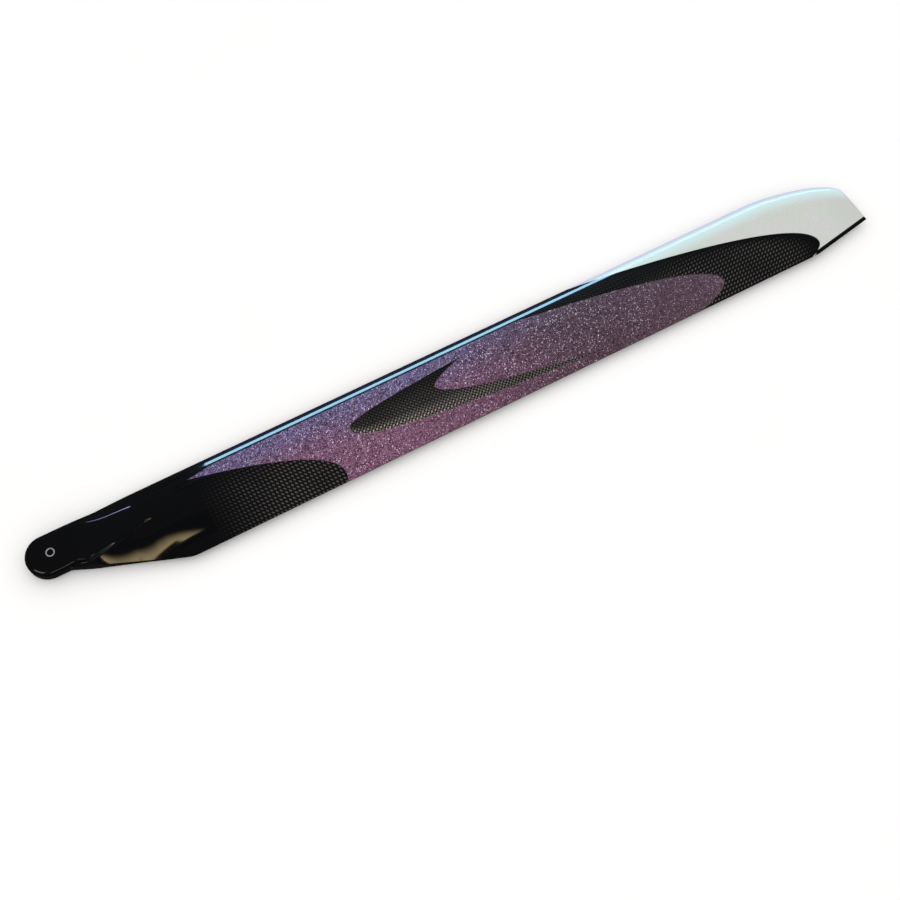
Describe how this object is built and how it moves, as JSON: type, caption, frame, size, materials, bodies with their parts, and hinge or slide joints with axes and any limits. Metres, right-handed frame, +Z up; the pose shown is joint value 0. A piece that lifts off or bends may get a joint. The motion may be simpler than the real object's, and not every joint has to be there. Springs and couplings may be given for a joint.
{
  "type": "helicopter rotor blade",
  "caption": "Main rotor blade for a model helicopter: flat bolted root with a metal bushing, faired into a straight symmetric section with a swept-back tip.",
  "frame": {"origin": "centre of the bolt hole at half the root's thickness", "axes": "+X out along the span to the tip, +Y toward the leading edge, +Z up along the bolt, out of the purple face"},
  "size_m": [0.6167, 0.057, 0.012],
  "materials": {
    "blade": "clear-coated carbon composite, black root, purple metal flake, pearl tip",
    "root_bushing": "turned, satin"
  },
  "bodies": {
    "root": {"blade": "blade", "root_bushing": "root_bushing"}
  },
  "joints": []
}
